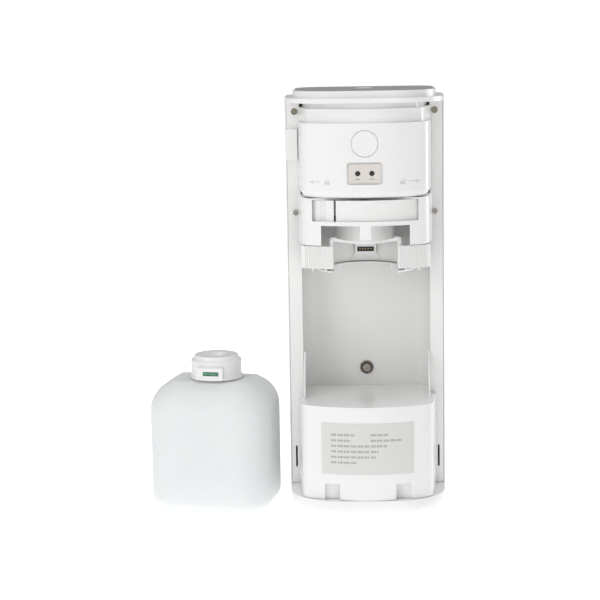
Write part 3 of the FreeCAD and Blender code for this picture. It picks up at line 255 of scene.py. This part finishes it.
# rows of short dashes where a rating table would be
def labelMarks(finish):
    p = labelPrint
    x, _, z = finish.axes()
    wobble = finish.noise(p["wobble"], 0)
    mask = None
    for row, column, length in p["rows"]:
        left = p["second"] if column else p["left"]
        up = p["top"] - row * p["pitch"]
        bar = barMask(x, z, left, left + length * mm, up, p["height"])
        mask = mask.either(bar) if mask else bar
    words = ((x - p["left"]) / p["word"]).fraction() < p["wordPart"]
    steps = (x - p["left"]) / p["letter"] + wobble * p["wobbleAmount"]
    letters = steps.fraction() < p["letterPart"]
    return mask * words * letters * p["strength"]


plateMarks = {
    "spread": 5.8 * mm, "z": 289.4 * mm, "half": 2.1 * mm, "height": 0.7 * mm, "strength": 0.7,
}


# a short bar on the plate for each button
def plateMask(finish):
    p = plateMarks
    x, _, z = finish.axes()
    mask = None
    for side in (-1, 1):
        middle = side * p["spread"]
        bar = barMask(x, z, middle - p["half"], middle + p["half"], p["z"], p["height"])
        mask = mask.either(bar) if mask else bar
    return mask * p["strength"]


lockMarks = {
    "spread": 36 * mm, "z": 287 * mm, "half": 9.5 * mm, "line": 0.8 * mm, "tail": 0.5 * mm,
    "headLength": 3.2 * mm, "headSlope": 0.55, "lockOffset": 5 * mm,
    "caseHalf": 2.2 * mm, "caseDrop": 0.9 * mm, "caseHeight": 2.6 * mm,
    "openSwing": 1.6 * mm, "bowLift": 0.4 * mm, "bowInner": 1.1 * mm, "bowOuter": 1.75 * mm,
    "strength": 0.5,
}


# an arrow that points the way the collar turns, with a closed or open padlock beside it
def lockMask(finish):
    p = lockMarks
    x, _, z = finish.axes()
    mask = None
    for side in (-1, 1):
        middle, up = side * p["spread"], p["z"]
        tip = middle + side * p["half"]
        tail = middle + side * p["tail"]
        shaft = barMask(x, z, min(tip, tail), max(tip, tail), up, p["line"])
        inward = (tip - x) * side
        head = ((inward > 0) * (inward < p["headLength"])
                * (abs(z - up) < inward * p["headSlope"]))
        lock = middle - side * p["lockOffset"]
        case = barMask(x, z, lock - p["caseHalf"], lock + p["caseHalf"], up - p["caseDrop"],
                       p["caseHeight"])
        swing = 0 if side < 0 else p["openSwing"]
        dx, dz = x - (lock + swing), z - (up + p["bowLift"])
        span = dx * dx + dz * dz
        bow = (span > p["bowInner"] ** 2) * (span < p["bowOuter"] ** 2) * (dz > 0)
        for part in (shaft, head, case, bow):
            mask = mask.either(part) if mask else part
    return mask * p["strength"]


white = (0.86, 0.86, 0.855)
# roughness, grain, relief and coat of the glossy mouldings
glossSkin = (0.24, 0.5 * mm, 0.008 * mm, {"Coat Weight": 0.15, "Coat Roughness": 0.1})
materials = {
    "painted_steel": mouldedFinish("powderCoat", (0.85, 0.85, 0.845), 0.42, 0.9 * mm, 0.05 * mm),
    "white_plastic": mouldedFinish("satinWhite", (0.86, 0.86, 0.85), 0.38),
    "gloss_white": mouldedFinish("glossWhite", white, *glossSkin),
    "grey_plastic": mouldedFinish("greyInlay", (0.34, 0.35, 0.345), 0.45),
    "beige_plate": mouldedFinish("beigePlate", (0.72, 0.68, 0.64), 0.5, marks=plateMask,
                                 markColour=(0.2, 0.18, 0.17, 1)),
    "label_film": mouldedFinish("labelFilm", (0.70, 0.70, 0.68), 0.45, marks=labelMarks,
                                markColour=(0.2, 0.2, 0.2, 1)),
    "black_plastic": mouldedFinish("blackPlastic", (0.02, 0.02, 0.02), 0.35),
    "rubber_black": rubberFinish("blackRubber", (0.03, 0.03, 0.03)),
    "silicone": rubberFinish("milkySilicone", (0.75, 0.75, 0.72), 0.45),
    "nickel": metalFinish("turnedNickel", (0.36, 0.33, 0.29), 0.28),
    "magnet": metalFinish("platedMagnet", (0.30, 0.27, 0.22), 0.4),
    "circuit_green": boardFinish("circuitBoard"),
    "bottle_plastic": bottleFinish("frostedBottle"),
    "motor_steel": metalFinish("drawnCan", (0.6, 0.6, 0.59), 0.3),
    "brass_pin": metalFinish("brassPin", (0.75, 0.58, 0.28), 0.25),
}
housingMarked = mouldedFinish("glossWhiteMarked", white, *glossSkin, lockMask,
                              (0.45, 0.45, 0.45, 1))
slotOf = {part["node"]: part["material_slot"] for part in frame["record"]["subparts"]}
for name, node in nodes.items():
    finish = materials[slotOf[name]]
    if name == "upper_housing":
        finish = housingMarked
    node.data.materials.clear()
    node.data.materials.append(finish)
print("materials on", len(nodes), "nodes")


# mesh tools

def startPiece(name, body, slot):
    piece = bpy.context.object
    piece.name = name
    piece.data.name = name
    piece.data.materials.clear()
    piece.data.materials.append(materials[slot])
    piece["body"] = body
    piece["slot"] = slot
    return piece


def selectNone():
    if bpy.context.object and bpy.context.object.mode == "EDIT":
        bpy.ops.object.mode_set(mode="OBJECT")
    bpy.ops.object.select_all(action="DESELECT")


# in edit mode, selects the faces or edges that pass the test
def pick(piece, kind, test):
    bpy.ops.mesh.select_all(action="DESELECT")
    bpy.ops.mesh.select_mode(type=kind)
    mesh = bmesh.from_edit_mesh(piece.data)
    for element in (mesh.faces if kind == "FACE" else mesh.edges):
        element.select_set(bool(test(element)))
    mesh.select_flush_mode()
    bmesh.update_edit_mesh(piece.data)


# puts a finished piece in its place and on its body
def settle(piece, matrix):
    piece.matrix_world = matrix @ piece.matrix_world
    selectNone()
    piece.select_set(True)
    bpy.context.view_layer.objects.active = piece
    bpy.ops.object.transform_apply(location=True, rotation=True, scale=True)
    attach(piece, piece["body"])


# bottle: a closed body with sloping shoulders and no neck, where the cap sits

bottle = {
    "width": 107 * mm, "depth": 83 * mm, "side": 101 * mm, "shoulder": 112.5 * mm,
    "turn": math.radians(-9.5), "place": (-133.5 * mm, 4 * mm),
    "frontCorner": 30 * mm, "rearCorner": 22 * mm, "rim": 14 * mm, "foot": 12 * mm,
    "inset": 20 * mm, "crown": 3 * mm, "cornerSegments": 10, "rimSegments": 9,
    "crownSegments": 5, "footSegments": 7, "smoothAngle": math.radians(50),
}
bottleStand = Matrix.Translation((*bottle["place"], 0)) @ Matrix.Rotation(bottle["turn"], 4, "Z")
sameHeight = 0.1 * mm       # edges this close to a height lie at it
faceBand = 1 * mm           # edges this close to a face belong to it


# rounds the edges that lie at one height
def roundRing(piece, height, radius, segments, clamp=True):
    pick(piece, "EDGE", lambda e: all(abs(v.co.z - height) < sameHeight for v in e.verts))
    bpy.ops.mesh.bevel(offset=radius, segments=segments, offset_type="OFFSET",
                       clamp_overlap=clamp)


def makeBottle():
    b = bottle
    selectNone()
    bpy.ops.mesh.primitive_cube_add(size=1, location=(0, 0, b["side"] / 2),
                                    scale=(b["width"], b["depth"], b["side"]))
    piece = startPiece("bottleShell", "bottle", "bottle_plastic")
    bpy.ops.object.transform_apply(location=True, rotation=True, scale=True)
    bpy.ops.object.mode_set(mode="EDIT")
    for front, radius in ((True, b["frontCorner"]), (False, b["rearCorner"])):
        pick(piece, "EDGE", lambda e: abs(e.verts[0].co.z - e.verts[1].co.z) > b["side"] / 2
             and (e.verts[0].co.y < -b["depth"] / 2 + faceBand if front
                  else e.verts[0].co.y > b["depth"] / 2 - faceBand))
        bpy.ops.mesh.bevel(offset=radius, segments=b["cornerSegments"], offset_type="OFFSET")
    pick(piece, "FACE", lambda f: f.normal.z > 0.9)
    bpy.ops.mesh.inset(thickness=b["inset"], use_even_offset=True)
    bpy.ops.transform.translate(value=(0, 0, b["shoulder"] - b["side"]))
    roundRing(piece, b["side"], b["rim"], b["rimSegments"])
    roundRing(piece, b["shoulder"], b["crown"], b["crownSegments"])
    roundRing(piece, 0, b["foot"], b["footSegments"], clamp=False)
    bpy.ops.object.mode_set(mode="OBJECT")
    bpy.ops.object.shade_smooth_by_angle(angle=b["smoothAngle"])
    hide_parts("bottle")
    settle(piece, bottleStand)


makeBottle()
print("bottle made")

# floor, lights, camera

studio = {
    "aim": (-57 * mm, 0, 180.6 * mm), "eye": (0, -1.453, 0.411), "roll": math.radians(-0.95),
    "lens": 102.4,
    "key": ((-1.6, -1.7, 1.1), 1.2, 12), "rim": ((1.5, 0.85, 0.5), 0.9, 9),
    "top": ((-0.2, -0.6, 2.0), 1.4, 13),
    "front": ((0.4, -2.4, 0.9), 1.6, 3), "lightsAim": (0, 0, 180 * mm),
    "ambient": 0.35, "skySeen": 1.05, "floorGlow": 0.5, "floorSize": 14,
    "floorDrop": 0.2 * mm, "sensor": 36, "farthest": 50,
}


def areaLight(name, spec):
    place, size, power = spec
    bpy.ops.object.light_add(type="AREA", location=place)
    lamp = bpy.context.object
    lamp.name = name
    lamp.data.shape = "SQUARE"
    lamp.data.size = size
    lamp.data.energy = power
    aim = Vector(studio["lightsAim"]) - Vector(place)
    lamp.rotation_euler = aim.to_track_quat("-Z", "Y").to_euler()


def makeStudio():
    selectNone()
    bpy.ops.mesh.primitive_plane_add(size=studio["floorSize"],
                                     location=(0, 0, -studio["floorDrop"]))
    floor = bpy.context.object
    floor.name = "floor"
    paper = Finish("paper", {"Roughness": 0.9, "Emission Strength": 1.0})
    # the camera sees a white floor, the object is lit by a weaker one
    glow = studio["floorGlow"]
    seenPath = paper.node("ShaderNodeLightPath", {}, {})
    paper.feed("Emission Color", paper.blend(seenPath, (glow, glow, glow, 1), (1, 1, 1, 1)))
    fibre = paper.noise(2 * mm, 4)
    paper.feed("Base Color", paper.blend(fibre, (0.9, 0.9, 0.9, 1), (0.93, 0.93, 0.93, 1)))
    floor.data.materials.append(paper.material)
    for name in ("key", "rim", "top", "front"):
        areaLight(name, studio[name])
    world = bpy.data.worlds.new("studio")
    bpy.context.scene.world = world
    world.use_nodes = True
    tree = world.node_tree
    sky = tree.nodes["Background"]
    seen = tree.nodes.new("ShaderNodeLightPath").outputs["Is Camera Ray"]
    level = tree.nodes.new("ShaderNodeMapRange")
    level.inputs["To Min"].default_value = studio["ambient"]
    level.inputs["To Max"].default_value = studio["skySeen"]
    tree.links.new(seen, level.inputs["Value"])
    tree.links.new(level.outputs[0], sky.inputs["Strength"])
    sky.inputs["Color"].default_value = (1, 1, 1, 1)
    bpy.ops.object.camera_add(location=studio["eye"])
    camera = bpy.context.object
    look = Vector(studio["aim"]) - Vector(studio["eye"])
    turn = look.to_track_quat("-Z", "Y").to_matrix().to_4x4()
    camera.rotation_euler = (turn @ Matrix.Rotation(studio["roll"], 4, "Z")).to_euler()
    camera.data.lens = studio["lens"]
    camera.data.sensor_width = studio["sensor"]
    camera.data.clip_end = studio["farthest"]
    bpy.context.scene.camera = camera
    bpy.context.scene.view_settings.view_transform = "Standard"


makeStudio()
print("studio set")
